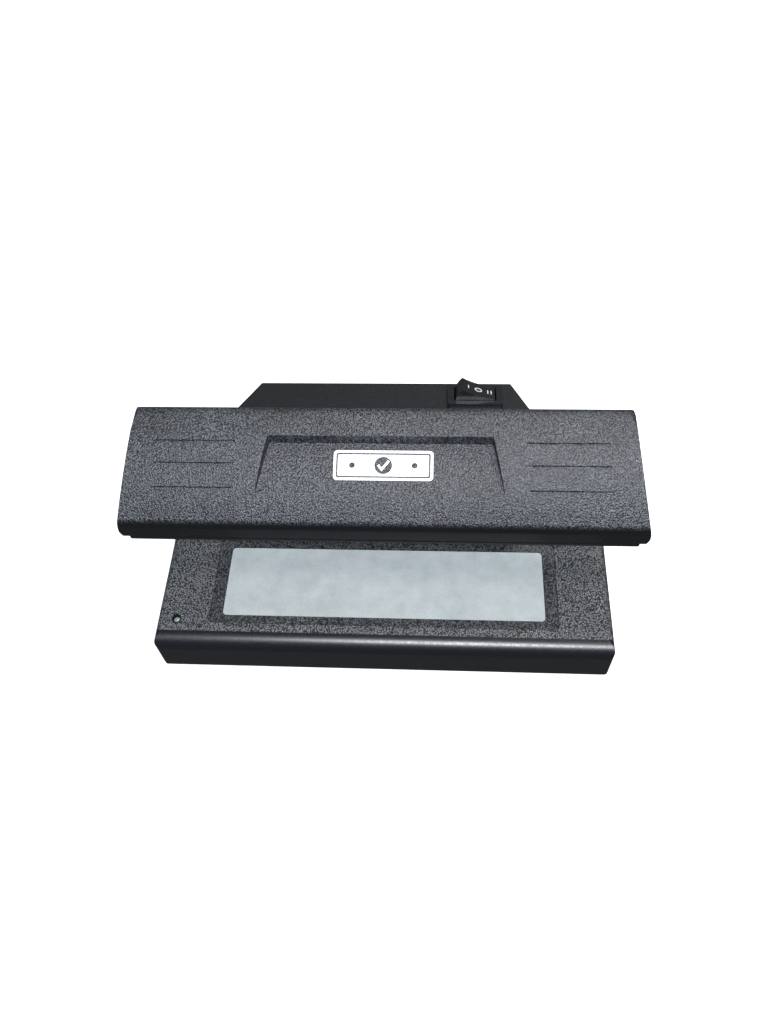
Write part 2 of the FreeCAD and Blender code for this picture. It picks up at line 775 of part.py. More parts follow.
def end_points(inset, low):
    """The hood's right end seen from the front: foot, leaning side, upper rounding and top."""
    slant = "sqrt(1 + end_draft^2)"
    low_x = "(hood_half - end_draft * (end_low - lip_high) - end_low_round / %s)" % slant
    low_z = "(end_low - end_low_round * end_draft / %s)" % slant
    low_arc = "(end_low_round - (%s))" % inset
    top_x = "(hood_half - end_draft * (end_top - lip_high) - end_top_round / %s)" % slant
    top_z = "(end_top - end_top_round * end_draft / %s)" % slant
    top_arc = "(end_top_round - (%s))" % inset
    return {
        "foot": ("(%s + sqrt(%s^2 - (%s - (%s))^2))" % (low_x, low_arc, low_z, low), low, low_arc),
        "side": ("(%s + %s / %s)" % (low_x, low_arc, slant),
                 "%s + %s * end_draft / %s" % (low_z, low_arc, slant)),
        "shoulder": ("(%s + %s / %s)" % (top_x, top_arc, slant),
                     "%s + %s * end_draft / %s" % (top_z, top_arc, slant), top_arc),
        "top": (top_x, "%s + %s" % (top_z, top_arc)),
    }


def hood_form(name, inset, low):
    """Solid hood, smaller by the inset all round: its section drawn out to both sides, with the
    ends cut to their outline from the front."""
    body = new_body(name)
    points = face_points(inset)
    front, back = points["lip"][0], points["back"][0]
    section = [
        (front, low), (back, low), (back, points["back"][1], points["crown"][2]),
        (*points["crown"][:2], points["brow"][2]), (*points["brow"][:2], points["lip"][2]),
        (front, "lip_high"),
    ]
    pad(body, sketch_on(body, "YZ_Plane", [section]), "2 * hood_half + 20", symmetric=True)
    ends = end_points(inset, low)
    left = {place: ("-" + point[0],) + point[1:] for place, point in ends.items()}
    outline = [
        left["foot"][:2], ends["foot"], ends["side"], ends["shoulder"], ends["top"],
        (*left["top"], ends["shoulder"][2]), left["shoulder"][:2],
        (*left["side"], ends["foot"][2]),
    ]
    around = rectangle("-hood_half - 15", "hood_half + 15", "%s - 5" % low, "lip_low + 60")
    pocket(body, sketch_on(body, "XZ_Plane", [around, outline]), "2 * hood_half", symmetric=True)
    return body


def corner_form():
    """Prism that leans with the hood's ends and has round corners seen from above."""
    body = new_body("hood_corners")
    front = "hood_front - corner_slack"
    back = "%s + corner_slack" % face_points("0")["back"][0]
    loft = body.newObject("PartDesign::AdditiveLoft", "loft")
    sections = []
    for level in ("lip_low - 1", "lip_low + 40"):
        half = "(hood_half + corner_slack - end_draft * (%s - lip_high))" % level
        plan = [
            ("front_corner - " + half, front), (half + " - front_corner", front, "front_corner"),
            (half, front + " + front_corner"), (half, back + " - back_corner", "back_corner"),
            (half + " - back_corner", back), ("back_corner - " + half, back, "back_corner"),
            ("-" + half, back + " - back_corner"),
            ("-" + half, front + " + front_corner", "front_corner"),
        ]
        sections.append(sketch_on(body, "XY_Plane", [plan], level))
    loft.Profile = sections[0]
    loft.Sections = [sections[1]]
    loft.Ruled = True
    return body


def badge_form(name, margin, drop):
    """Upright prism over the sunk trapezium, from its sloping floor, lowered by the drop, upwards."""
    body = new_body(name)
    plan = [
        ("-badge_low_half - (%s)" % margin, "badge_low_y - (%s)" % margin),
        ("badge_low_half + (%s)" % margin, "badge_low_y - (%s)" % margin),
        ("badge_top_half + (%s)" % margin, "badge_top_y + (%s)" % margin),
        ("-badge_top_half - (%s)" % margin, "badge_top_y + (%s)" % margin),
    ]
    pad(body, sketch_on(body, "XY_Plane", [plan], "lip_low"), "40")
    floor = "%s - badge_low_drop - (%s) + tan(badge_slope) * " % (face_height("badge_low_y"), drop)
    front, back = "badge_low_y - 10", "badge_top_y + 10"
    under = [
        (front, "lip_low - 5"), (back, "lip_low - 5"),
        (back, floor + "(%s - badge_low_y)" % back), (front, floor + "(%s - badge_low_y)" % front),
    ]
    pocket(body, sketch_on(body, "YZ_Plane", [under]), "3 * badge_low_half", symmetric=True)
    return body


def hood_shell():
    """The hood: a shell with screw bosses, three grooves a side and the sunk trapezium."""
    shell = cut(common(hood_form("hood_outside", "0", "lip_low"), corner_form()),
                hood_form("hood_inside", "hood_wall", "lip_low - 1"))
    low = ("hood_boss_low", "30")
    bosses = []
    for y in ("hood_screw_front", "hood_screw_back"):
        bosses += both_sides(rod("boss_radius", "z", "hood_screw_x", y, *low))
    bosses += both_sides(rod("boss_radius", "z", "holder_screw_x", "tube_y", "holder_top", "20"))
    back = face_points("hood_wall")["back"][0]
    reach = "%s + 0.5 - 11.5" % back
    bosses += both_sides(rod("boss_radius", "y", "high_screw_x", "11.5", "high_screw_z", reach))
    trimmed = common(fuse(*bosses), hood_form("boss_limit", "hood_wall / 2", "lip_low + 1"))
    backing = common(badge_form("badge_backing", "badge_back", "badge_back"),
                     hood_form("backing_limit", "hood_wall / 2", "lip_low + 1"))

    grooves = []
    for row in range(3):
        middle = "groove_y - %d * groove_pitch" % row
        inner = "groove_inner + %d * groove_step" % row
        grooves += both_sides(block(inner, inner + " + groove_length", middle + " - groove_width / 2",
                                    middle + " + groove_width / 2", "lip_high", "lip_low + 40"))
    carved = cut(fuse(*grooves), hood_form("groove_floor", "groove_depth", "lip_low - 1"))

    pilots = []
    for y in ("hood_screw_front", "hood_screw_back"):
        pilots += both_sides(rod("pilot_radius", "z", "hood_screw_x", y, "hood_boss_low - 1", "hood_pilot_depth"))
    pilots += both_sides(rod("pilot_radius", "z", "holder_screw_x", "tube_y", "holder_top - 1", "8"))
    pilots += both_sides(rod("pilot_radius", "y", "high_screw_x", "12.5", "high_screw_z", "10"))
    wires = block("-wire_way", "wire_way", "15", "housing_back", "57", "73")
    solid = fuse(shell, trimmed, backing)
    node("hood_shell", cut(solid, carved, badge_form("badge_cut", "0", "0"), wires, *pilots))


def hood_liner():
    """Floor of the hood, with a flange under the lip and the opening for the tube."""
    back = face_points("0")["back"][0]
    foot = end_points("0", "(lip_low - liner_drop)")["foot"][0]

    def plan(inset, front_round, back_round):
        """The hood's foot seen from above, smaller by the inset all round."""
        half = "(%s - (%s))" % (foot, inset)
        near, far = "hood_front + (%s)" % inset, "%s - (%s)" % (back, inset)
        return [
            ("%s - %s" % (front_round, half), near),
            ("%s - %s" % (half, front_round), near, front_round),
            (half, "%s + %s" % (near, front_round)), (half, "%s - %s" % (far, back_round), back_round),
            ("%s - %s" % (half, back_round), far), ("%s - %s" % (back_round, half), far, back_round),
            ("-" + half, "%s - %s" % (far, back_round)),
            ("-" + half, "%s + %s" % (near, front_round), front_round),
        ]

    body = new_body("liner_form")
    low = "lip_low - liner_drop"
    pad(body, sketch_on(body, "XY_Plane", [plan("liner_inset", "front_corner", "liner_corner")], low),
        "liner_flange")
    rim = plan("liner_rim_inset", "front_corner", "liner_corner")
    pad(body, sketch_on(body, "XY_Plane", [rim], low), "liner_rim_high - (%s)" % low)
    inside = plan("liner_rim_inset + liner_rim_wall", "inner_corner", "inner_corner")
    pocket(body, sketch_on(body, "XY_Plane", [inside], "liner_rim_high"),
           "liner_rim_high - (%s) - liner_thick" % low)
    light = rounded("-light_half", "light_half", "light_front", "light_back", "2")
    pocket(body, sketch_on(body, "XY_Plane", [light], "liner_rim_high"), "10")
    pillars, holes, fasteners = [], [], []
    for y in ("hood_screw_front", "hood_screw_back"):
        at = ("z", "hood_screw_x", y)
        pillars += both_sides(rod("sleeve_radius", *at, low, "hood_boss_low - (%s)" % low))
        holes += both_sides(rod("sink_radius", *at, "%s - 1" % low, "hood_seat - (%s) + 1" % low))
        holes += both_sides(rod("clear_radius", *at, low, "6"))
        fasteners += both_sides(screw(*at, "hood_seat", "hood_screw_length"))
    node("hood_liner", cut(fuse(body, *pillars), *holes))
    node("hood_screws", group(fasteners))


# ---- ultraviolet tube -------------------------------------------------------------------------

def reflector():
    """Folded aluminium trough over the tube, standing on the liner."""
    body = new_body("trough")
    foot = "lip_low - liner_drop + liner_thick"
    bends = [("tube_y + (%s)" % y, "tube_z + (%s)" % z) for y, z in REFLECTOR_SECTION]
    section = [(bends[-1][0], foot), (bends[0][0], foot), *bends]
    pad(body, sketch_on(body, "YZ_Plane", [section]), "2 * reflector_half", symmetric=True)
    hollow(body, "reflector_wall", lambda face: any(
        faces_towards(face, way) for way in ((1, 0, 0), (-1, 0, 0), (0, 0, -1))))
    return node("reflector", body)


def lampholder():
    """Holder at one end of the tube: round bore for the rotor, entry slot below, ear for a screw."""
    axis = ("tube_y", "tube_z")
    main = block("holder_start", "holder_end", "tube_y - holder_half", "tube_y + holder_half",
                 "holder_low", "holder_top")
    ear = block("holder_end", "holder_ear", "tube_y - holder_ear_half", "tube_y + holder_ear_half",
                "holder_top - holder_ear_thick", "holder_top")
    bore = rod("rotor_bore", "x", "holder_start - 1", *axis, "bore_end - holder_start + 1")
    entry = block("holder_start - 1", "bore_end - 1", "tube_y - rotor_slot / 2",
                  "tube_y + rotor_slot / 2", "holder_low - 1", "tube_z")
    hole = rod("clear_radius", "z", "holder_screw_x", "tube_y", "holder_top - 5", "6")
    slots = []
    for low, high in (("rotor_bore - 0.6", "contact_offset + contact_thick + 0.1"),
                      ("-contact_offset - contact_thick - 0.1", "0.6 - rotor_bore")):
        slots.append(block("holder_start + 1.4", "holder_end + 1", "tube_y + (%s)" % low,
                           "tube_y + (%s)" % high, "tube_z - contact_half_height - 0.1",
                           "tube_z + contact_half_height + 0.1"))
    right = cut(fuse(main, ear), bore, entry, hole, *slots)
    node("lampholder_right", right)
    node("lampholder_left", mirrored(right, (1, 0, 0)))

    strips = []
    for low, high in (("contact_offset", "contact_offset + contact_thick"),
                      ("-contact_offset - contact_thick", "-contact_offset")):
        strips += both_sides(block("holder_start + 1.5", "contact_end", "tube_y + (%s)" % low,
                                   "tube_y + (%s)" % high, "tube_z - contact_half_height",
                                   "tube_z + contact_half_height"))
    node("lampholder_contacts", group(strips))
    seat = "holder_top - holder_ear_thick"
    node("lampholder_screws", group(both_sides(screw("z", "holder_screw_x", "tube_y", seat,
                                                    "holder_screw_length"))))

    disc = rod("rotor_radius", "x", "rotor_start", *axis, "rotor_length")
    groove = block("rotor_start - 1", "rotor_start + rotor_length - rotor_web", "tube_y - 8",
                   "tube_y + 8", "tube_z - rotor_slot / 2", "tube_z + rotor_slot / 2")
    rotor = cut(disc, groove)
    node("rotor_right", rotor)
    node("rotor_left", mirrored(rotor, (1, 0, 0)))


def uv_tube():
    """Glass tube with an aluminium cap and two pins at each end."""
    axis = ("tube_y", "tube_z")
    end = "tube_half - cap_length"
    outside = rod("glass_radius", "x", "-(%s)" % end, *axis, "2 * (%s)" % end)
    inside = rod("glass_radius - glass_wall", "x", "-(%s) - 1" % end, *axis, "2 * (%s) + 2" % end)
    node("uv_tube", cut(outside, inside))
    node("tube_caps", group(both_sides(rod("tube_radius", "x", end, *axis, "cap_length"))))
    pins = []
    for y in ("tube_y - pin_spacing / 2", "tube_y + pin_spacing / 2"):
        pins += both_sides(rod("pin_radius", "x", "tube_half", y, "tube_z", "pin_length"))
    node("tube_pins", group(pins))


# ---- column and rear housing ------------------------------------------------------------------

def column_front():
    """Front half of the column, with bosses for the deck, the rear screws and the board."""
    body = new_body("column_form")
    outline = [
        ("-column_half", "column_back_y"),
        ("-column_half", "column_front_y + column_corner", "column_corner"),
        ("column_corner - column_half", "column_front_y"),
        ("column_half - column_corner", "column_front_y", "column_corner"),
        ("column_half", "column_front_y + column_corner"), ("column_half", "column_back_y"),
    ]
    pad(body, sketch_on(body, "XY_Plane", [outline], "deck_top"), "column_top - deck_top")
    inside = rectangle("column_wall - column_half", "column_half - column_wall",
                       "column_front_y + column_wall", "column_back_y + 5")
    pocket(body, sketch_on(body, "XY_Plane", [inside], "deck_top"),
           "column_top - deck_top - column_wall", reverse=True)
    start = "column_front_y + column_wall - 0.5"
    posts = both_sides(rod("boss_radius", "z", "column_screw_x", "column_screw_y", "deck_top",
                           "column_screw_length"))
    posts += both_sides(rod("boss_radius", "y", "low_screw_x", start, "low_screw_z",
                            "column_back_y - (%s)" % start))
    pilots = both_sides(rod("pilot_radius", "z", "column_screw_x", "column_screw_y", "deck_top - 2",
                            "column_screw_length"))
    pilots += both_sides(rod("pilot_radius", "y", "low_screw_x", "13.2", "low_screw_z", "10"))
    for x in ("board_left + board_screw_inset", "board_right - board_screw_inset"):
        for z in ("board_screw_low", "board_screw_high"):
            posts.append(rod("standoff_radius", "y", x, start, z, "board_y - (%s)" % start))
            pilots.append(rod("pilot_radius", "y", x, "15", z, "board_y - 14"))
    node("column_front", cut(fuse(body, *posts), *pilots))
    fastener = screw("z", "column_screw_x", "column_screw_y", "deck_under", "column_screw_length")
    node("column_screws", group(both_sides(fastener)))


def in_panel(thing, height="0", tilt=0.0):
    """Moves an object from the switch's own frame onto the panel, tilted about the rocker's pin."""
    turn = Rotation(Vector(1, 0, 0), -value("panel_slope")) * Rotation(Vector(0, 1, 0), tilt)
    return place(thing, "panel_x", "panel_y + (%s) * sin(panel_slope)" % height,
                 "panel_z + (%s) * cos(panel_slope)" % height, turn)


def rear_housing():
    """Back half of the column with the sloping switch panel, in one shell open below and in front."""
    body = new_body("housing_form")
    panel = "panel_z - tan(panel_slope) * (%s - panel_y)"
    section = [
        ("column_back_y", "deck_top"), ("housing_back", "deck_top"), ("housing_back", "housing_knee"),
        ("panel_back", panel % "panel_back"), ("column_back_y", panel % "column_back_y"),
    ]
    pad(body, sketch_on(body, "YZ_Plane", [section]), "2 * column_half + 10", symmetric=True)
    around = rectangle("-column_half - 20", "column_half + 20", "column_back_y - 5", "housing_back + 5")
    narrow = "column_half - housing_lean * (housing_back + 5 - column_back_y)"
    wide = "column_half + housing_lean * 4"
    plan = [("-(%s)" % wide, "column_back_y - 4"), (wide, "column_back_y - 4"),
            (narrow, "housing_back + 5 - 0.5"), ("-(%s)" % narrow, "housing_back + 5 - 0.5")]
    pocket(body, sketch_on(body, "XY_Plane", [around, plan], "100"), "100")
    hollow(body, "housing_wall", lambda face: any(
        faces_towards(face, way) for way in ((0, -1, 0), (0, 0, -1))))
    posts, holes = [], []
    for x, z, seat in (("low_screw_x", "low_screw_z", "low_seat"),
                       ("high_screw_x", "high_screw_z", "high_seat")):
        posts += both_sides(rod("sleeve_radius", "y", x, "column_back_y", z,
                                "%s + 1.2 - column_back_y" % seat))
        holes += both_sides(rod("clear_radius", "y", x, "column_back_y - 1", z, "30"))
        holes += both_sides(rod("sink_radius", "y", x, seat, z, "10"))
    for index in range(6):
        left = "vent_x + %d * vent_pitch" % index
        holes.append(block(left, left + " + vent_width", "housing_back - 4", "housing_back + 1",
                           "vent_low", "vent_high"))
    holes.append(block("inlet_x - snout_half - 0.2", "inlet_x + snout_half + 0.2", "housing_back - 4",
                       "housing_back + 1", "inlet_z - snout_half_height - 0.2",
                       "inlet_z + snout_half_height + 0.2"))
    opening = block("-case_half - cutout_gap", "case_half + cutout_gap",
                    "-case_half_depth - cutout_gap", "case_half_depth + cutout_gap", "-5", "3")
    holes.append(in_panel(group([opening])))
    node("rear_housing", cut(fuse(body, *posts), *holes))
    fasteners = both_sides(screw("y", "low_screw_x", "low_seat", "low_screw_z", "rear_screw_length",
                                 towards=-1))
    fasteners += both_sides(screw("y", "high_screw_x", "high_seat", "high_screw_z", "rear_screw_length",
                                  towards=-1))
    node("rear_screws", group(fasteners))


# ---- rocker switch ----------------------------------------------------------------------------

def rocker_switch():
    """Three-position rocker switch: case with bezel, rocker with spring plunger, tilting contact
    and three tabs.  The rocker rests with its right end pressed."""
    bezel = new_body("bezel")
    frame = rounded("-bezel_half", "bezel_half", "-bezel_half_depth", "bezel_half_depth", "bezel_corner")
    pad(bezel, sketch_on(bezel, "XY_Plane", [frame]), "bezel_height")
    case = block("-case_half", "case_half", "-case_half_depth", "case_half_depth", "-case_depth", "0")
    well = block("-well_half", "well_half", "-well_half_depth", "well_half_depth",
                 "case_floor - case_depth", "bezel_height + 1")
    bearing = rod("stub_bore", "y", "0", "-stub_end - 0.1", "pivot_height", "2 * stub_end + 0.2")
    slots, tabs = [], []
    for index in (-1, 0, 1):
        centre = "%d * tab_pitch" % index
        top = "stud_top" if index else "cradle_top"
        slots.append(block("%s - tab_thick / 2 - 0.05" % centre, "%s + tab_thick / 2 + 0.05" % centre,
                           "-tab_half_depth - 0.05", "tab_half_depth + 0.05", "-case_depth - 1",
                           "case_floor - case_depth + 1"))
        tabs.append(block("%s - tab_thick / 2" % centre, "%s + tab_thick / 2" % centre,
                          "-tab_half_depth", "tab_half_depth", "-tab_end", top))
    node("switch_body", in_panel(cut(fuse(bezel, case), well, bearing, *slots)))
    node("switch_terminals", in_panel(group(tabs)))

    tilt = value("rocker_tilt")
    body = new_body("rocker_form")
    top_half = "sqrt(rocker_radius^2 - rocker_top^2)"
    low_half = "sqrt(rocker_radius^2 - rocker_low^2)"
    section = [
        (low_half, "-rocker_low", "rocker_radius"), (top_half, "rocker_top", "rocker_dish", "hollow"),
        ("-" + top_half, "rocker_top", "rocker_radius"), ("-" + low_half, "-rocker_low"),
    ]
    pad(body, sketch_on(body, "XZ_Plane", [section]), "2 * rocker_half_depth", symmetric=True)
    stubs = rod("stub_radius", "y", "0", "-stub_end", "0", "2 * stub_end")
    stem = rod("stem_radius", "z", "0", "0", "-stem_end", "stem_end - 1")
    bore = rod("stem_bore", "z", "0", "0", "-stem_end - 1", "stem_end - 0.5")
    node("rocker", in_panel(cut(fuse(body, stubs, stem), bore), "pivot_height", tilt))

    pin = rod("plunger_radius", "z", "0", "0", "plunger_radius - plunger_tip", "3.4")
    nose = doc.addObject("Part::Sphere", "nose")
    bind(nose, {"Radius": "plunger_radius"})
    place(nose, "0", "0", "plunger_radius - plunger_tip")
    node("plunger", in_panel(fuse(pin, nose), "pivot_height", tilt))

    arm = block("-lever_half", "lever_half", "-lever_half_depth", "lever_half_depth",
                "-lever_thick / 2", "lever_thick / 2")
    buttons = both_sides(rod("button_radius", "z", "lever_half - button_inset", "0",
                             "-lever_thick / 2 - button_height", "button_height + 0.2"))
    roll = rod("lever_pivot", "y", "0", "-lever_half_depth", "0", "2 * lever_half_depth")
    lever = in_panel(fuse(arm, roll, *buttons), "lever_height", -value("lever_tilt"))
    node("contact_lever", lever)


# ---- mains inlet and ballast ------------------------------------------------------------------

def mains_inlet():
    """Two-pin inlet in the back wall, its socket shaped like an eight."""
    shell = block("inlet_x - inlet_half", "inlet_x + inlet_half", "inlet_front",
                  "housing_back - housing_wall - 0.1", "inlet_z - inlet_half_height",
                  "inlet_z + inlet_half_height")
    snout = block("inlet_x - snout_half", "inlet_x + snout_half", "inlet_front", "inlet_rim",
                  "inlet_z - snout_half_height", "inlet_z + snout_half_height")
    lobes, pins = [], []
    for side in ("-", "+"):
        x, floor = "inlet_x %s mains_pin_spacing / 2" % side, "inlet_rim - socket_depth"
        lobes.append(rod("socket_radius", "y", x, floor, "inlet_z", "socket_depth + 1"))
        blade = rod("mains_pin_radius", "y", x, floor, "inlet_z", "mains_pin_length")
        collar = rod("mains_collar_radius", "y", x, "mains_collar_start", "inlet_z",
                     "%s - mains_collar_start" % floor)
        tail = rod("mains_tail_radius", "y", x, "mains_tail_start", "inlet_z",
                   "mains_collar_start - mains_tail_start")
        pins.append(fuse(blade, collar, tail))
    waist = block("inlet_x - mains_pin_spacing / 2", "inlet_x + mains_pin_spacing / 2",
                  "inlet_rim - socket_depth", "inlet_rim + 1", "inlet_z - socket_waist",
                  "inlet_z + socket_waist")
    node("inlet_body", cut(fuse(shell, snout), *lobes, waist, *pins))
    node("inlet_pins", group(pins))


def ballast():
    """Electronic ballast for the tube on an upright board behind the column's front."""
    face = "board_y + board_thick"
    board = block("board_left", "board_right", "board_y", face, "board_low", "board_high")
    holes, fasteners = [], []
    for x in ("board_left + board_screw_inset", "board_right - board_screw_inset"):
        for z in ("board_screw_low", "board_screw_high"):
            holes.append(rod("clear_radius", "y", x, "board_y - 1", z, "4"))
            fasteners.append(screw("y", x, face, z, "board_screw_length", towards=-1))
    node("ballast_board", cut(board, *holes))
    node("board_screws", group(fasteners))

    lift = face + " + core_lift"
    depth = lift + " + core_depth"
    core = block("core_left", "core_right", lift, depth, "core_low", "core_high")
    inner_left, inner_right = "core_left + core_leg", "core_right - core_leg"
    leg_left, leg_right = inner_left + " + core_window", inner_right + " - core_window"
    span = ("core_low + core_yoke", "core_high - core_yoke")
    windows = [block(inner_left, leg_left, face, depth + " + 1", *span),
               block(leg_right, inner_right, face, depth + " + 1", *span)]
    node("transformer_core", cut(core, *windows))
    winding = block(inner_left + " + coil_gap", inner_right + " - coil_gap", face, depth + " + core_lift",
                    span[0] + " + coil_gap", span[1] + " - coil_gap")
    leg = block(leg_left, leg_right, lift, depth, *span)
    node("transformer_coil", cut(winding, leg))
    storage = rod("storage_radius", "y", "storage_x", face, "storage_z", "storage_length")
    films, chips = [], []
    for index in range(2):
        low = "film_low + %d * film_pitch" % index
        films.append(block("film_left", "film_right", face, face + " + film_depth", low,
                           low + " + film_height"))
        left = "chip_left + %d * chip_pitch" % index
        chips.append(block(left, left + " + chip_width", face, face + " + chip_length", "chip_low",
                           "chip_low + chip_thick"))
    node("capacitors", group([storage, *films]))
    node("power_transistors", group(chips))
    axis = face + " + fuse_lift"
    glass = rod("fuse_glass_radius", "z", "fuse_x", axis, "fuse_low", "fuse_length")
    caps, clips = [], []
    for low in ("fuse_low", "fuse_low + fuse_length - fuse_cap_length"):
        caps.append(rod("fuse_cap_radius", "z", "fuse_x", axis, low, "fuse_cap_length"))
        start, end = low + " + clip_inset", low + " + clip_inset + clip_width"
        cheek = block("fuse_x - clip_half", "fuse_x + clip_half", face, face + " + clip_depth", start, end)
        seat = rod("fuse_cap_radius + clip_gap", "z", "fuse_x", axis, start + " - 1", "clip_width + 2")
        mouth = block("fuse_x - clip_mouth_half", "fuse_x + clip_mouth_half", axis,
                      face + " + clip_depth + 1", start + " - 1", end + " + 1")
        clips.append(cut(cheek, seat, mouth))
    node("fuse", fuse(glass, *caps))
    node("fuse_clips", group(clips))


def lead(points):
    """An insulated wire along straight runs joined by tangent arcs."""
    radius = value("lead_radius")
    corners = [Vector(*point) for point in points]
    edges, start = [], corners[0]
    for before, corner, after in zip(corners, corners[1:], corners[2:]):
        to_before = (before - corner).normalize()
        to_after = (after - corner).normalize()
        shorter = min((before - corner).Length, (after - corner).Length)
        reach = 0.42 * shorter      # leaves a straight piece between one bend and the next
        first, last = corner + to_before * reach, corner + to_after * reach
        half = math.radians(180) - to_before.getAngle(to_after)
        bend = reach / math.tan(half / 2)
        inner = (to_before + to_after).normalize()
        middle = corner + inner * (bend / math.cos(half / 2) - bend)
        edges.append(Part.LineSegment(start, first).toShape())
        edges.append(Part.Arc(first, middle, last).toShape())
        start = last
    edges.append(Part.LineSegment(start, corners[-1]).toShape())
    path = Part.Wire(edges)
    ring = Part.Wire([Part.Circle(corners[0], corners[1] - corners[0], radius).toShape()])
    return path.makePipeShell([ring], True, False)


def leads():
    """Internal wiring, each node one group of wires."""
    for name, wires in WIRE_ROUTES.items():
        thing = doc.addObject("Part::Feature", name)
        thing.Shape = Part.makeCompound([lead(points) for points in wires])
        node(name, thing)


base_shell()
bottom_plate()
lit_window()
indicator()
hood_shell()
hood_liner()
reflector()
lampholder()
uv_tube()
column_front()
rear_housing()
rocker_switch()
mains_inlet()
ballast()
leads()
doc.recompute()

for thing in doc.Objects:
    if "Invalid" in thing.State or "Error" in thing.State:
        raise RuntimeError("%s (%s) is %s" % (thing.Label, thing.Name, thing.State))
for thing in nodes:
    if thing.Shape.isNull() or not thing.Shape.isValid() or not thing.Shape.Solids:
        raise RuntimeError("%s has no valid solid" % thing.Label)

os.makedirs("parts", exist_ok=True)
for thing in nodes:
    thing.Shape.exportStep("parts/%s.step" % thing.Label)
    box = thing.Shape.BoundBox
    print("%-22s %2d solids %9.1f mm3  x %6.1f %6.1f  y %6.1f %6.1f  z %6.1f %6.1f" % (
        thing.Label, len(thing.Shape.Solids), thing.Shape.Volume,
        box.XMin, box.XMax, box.YMin, box.YMax, box.ZMin, box.ZMax))
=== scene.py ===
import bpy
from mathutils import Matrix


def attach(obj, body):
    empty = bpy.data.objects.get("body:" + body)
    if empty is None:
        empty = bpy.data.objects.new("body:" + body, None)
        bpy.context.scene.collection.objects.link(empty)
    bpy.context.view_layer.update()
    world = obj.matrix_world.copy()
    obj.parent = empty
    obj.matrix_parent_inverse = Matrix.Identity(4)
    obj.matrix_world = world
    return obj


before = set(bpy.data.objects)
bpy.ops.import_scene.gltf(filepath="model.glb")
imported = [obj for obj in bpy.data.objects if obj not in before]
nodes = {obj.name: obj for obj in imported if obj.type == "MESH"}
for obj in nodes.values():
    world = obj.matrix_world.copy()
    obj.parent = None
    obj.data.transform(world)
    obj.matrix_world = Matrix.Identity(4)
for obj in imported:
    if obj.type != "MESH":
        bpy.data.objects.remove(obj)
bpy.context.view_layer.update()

import math

import bpy
import numpy as np
from mathutils import Matrix, Vector

# Counterfeit bill detector: finishes, prints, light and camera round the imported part.
# Metres, +X to the right, +Y to the back, +Z up; the object stands on z = 0.

mm = 0.001
print("frame loaded:", len(nodes), "nodes")


# what every finish is made with

def colour(hexText):
    # sRGB to linear: a value up to 0.04045 is divided by 12.92, a higher one has 0.055 added,
    # is divided by 1.055 and raised to the power 2.4
    srgb = np.array([int(hexText[i:i + 2], 16) for i in (1, 3, 5)]) / 255
    linear = np.where(srgb <= 0.04045, srgb / 12.92, ((srgb + 0.055) / 1.055) ** 2.4)
    return (*linear.tolist(), 1.0)


def addNode(tree, kind, settings={}, links={}):
    # a node's own options have lower-case names, its sockets are named or numbered
    node = tree.nodes.new("ShaderNode" + kind)
    for name, setting in settings.items():
        if isinstance(name, str) and hasattr(node, name):
            setattr(node, name, setting)
        else:
            node.inputs[name].default_value = setting
    for name, source in links.items():
        tree.links.new(source, node.inputs[name])
    return node


def newFinish(name, settings):
    # an empty material with its shader and the object's own coordinates in metres
    finish = bpy.data.materials.new(name)
    finish.use_nodes = True
    tree = finish.node_tree
    tree.nodes.clear()
    shader = addNode(tree, "BsdfPrincipled", settings)
    addNode(tree, "OutputMaterial", {}, {"Surface": shader.outputs[0]})
    place = addNode(tree, "TexCoord").outputs["Object"]
    return finish, tree, shader, place


def noise(tree, place, size, detail=2.0, rough=0.5):
    # soft lumps about "size" across
    return addNode(tree, "TexNoise", {"Scale": 1 / size, "Detail": detail, "Roughness": rough},
                   {"Vector": place}).outputs["Fac"]


def spread(tree, source, fromLow, fromHigh, toLow=0.0, toHigh=1.0, smooth=False):
    # the source stretched from one range to another and held within it
    settings = {"interpolation_type": "SMOOTHSTEP" if smooth else "LINEAR", "From Min": fromLow,
                "From Max": fromHigh, "To Min": toLow, "To Max": toHigh}
    return addNode(tree, "MapRange", settings, {"Value": source}).outputs["Result"]


def maths(tree, operation, first, second):
    # one sum on two values, each a number or another node's output
    given = {i: v for i, v in enumerate((first, second)) if not hasattr(v, "links")}
    wired = {i: v for i, v in enumerate((first, second)) if hasattr(v, "links")}
    return addNode(tree, "Math", {"operation": operation, **given}, wired).outputs[0]


def blendColours(tree, factor, low, high):
    # from one colour to another along the factor; each is an sRGB hex or another node's colour
    settings = {"data_type": "RGBA"}
    links = {0: factor}
    for socket, given in ((6, low), (7, high)):
        if isinstance(given, str):
            settings[socket] = colour(given)
        else:
            links[socket] = given
    return addNode(tree, "Mix", settings, links).outputs[2]


def wire(tree, shader, links):
    for name, source in links.items():
        tree.links.new(source, shader.inputs[name])


def bump(tree, height, depth):
    # height 0..1 stands for "depth" metres
    return addNode(tree, "Bump", {"Distance": depth}, {"Height": height}).outputs["Normal"]


# ABS, injection moulded in a spark-eroded mould: bluish black and pebbled.  The pebbles of a real
# mould are 0.2 to 0.4 mm across; these are drawn about twice as wide so that they show.
# pebble and depth are in millimetres.  The grain ends below the height "low" and in front of the
# line "front", in metres; -1 lies past the part, so the grain doesn't end there.

